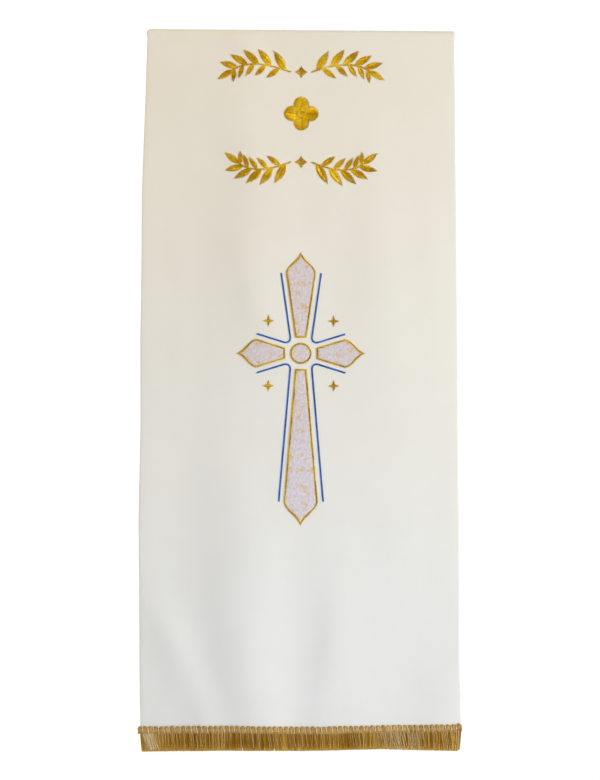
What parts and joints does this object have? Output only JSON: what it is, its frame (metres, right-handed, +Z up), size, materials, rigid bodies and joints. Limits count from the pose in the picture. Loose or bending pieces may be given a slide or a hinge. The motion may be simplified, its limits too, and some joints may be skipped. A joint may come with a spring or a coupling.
{
  "type": "ambo cloth",
  "caption": "Hanging cream cloth for a lectern front, with applique cross, gold sprays and a gold fringe along its foot.",
  "frame": {"origin": "middle of the underside of the crest, where the turned-over top rests on whatever edge holds it", "axes": "+Z up, front of the cloth towards -Y, +X to the right as seen from the front"},
  "size_m": [0.5079, 0.0282, 1.1547],
  "materials": {
    "wool_cloth": "matte cream wool-look weave",
    "gold_fringe": "antique gold twisted viscose threads with a soft shine",
    "brocade": "silvery brocade with gold flecks and a gold satin-stitched border",
    "gold_thread": "shining gold rayon satin stitch",
    "blue_thread": "shining blue rayon satin stitch"
  },
  "bodies": {
    "root": {"cloth": "wool_cloth", "fringe": "gold_fringe", "cross_arm_top": "brocade", "cross_arm_right": "brocade", "cross_arm_left": "brocade", "cross_arm_foot": "brocade", "cross_roundel": "brocade", "blue_line_upper_right": "blue_thread", "blue_line_upper_left": "blue_thread", "blue_line_lower_right": "blue_thread", "blue_line_lower_left": "blue_thread", "bud_upper_right": "gold_thread", "bud_upper_left": "gold_thread", "bud_lower_right": "gold_thread", "bud_lower_left": "gold_thread", "upper_spray_left": "gold_thread", "upper_spray_right": "gold_thread", "upper_lozenge": "gold_thread", "lower_spray_left": "gold_thread", "lower_spray_right": "gold_thread", "lower_lozenge": "gold_thread", "middle_rosette": "gold_thread"}
  },
  "joints": []
}
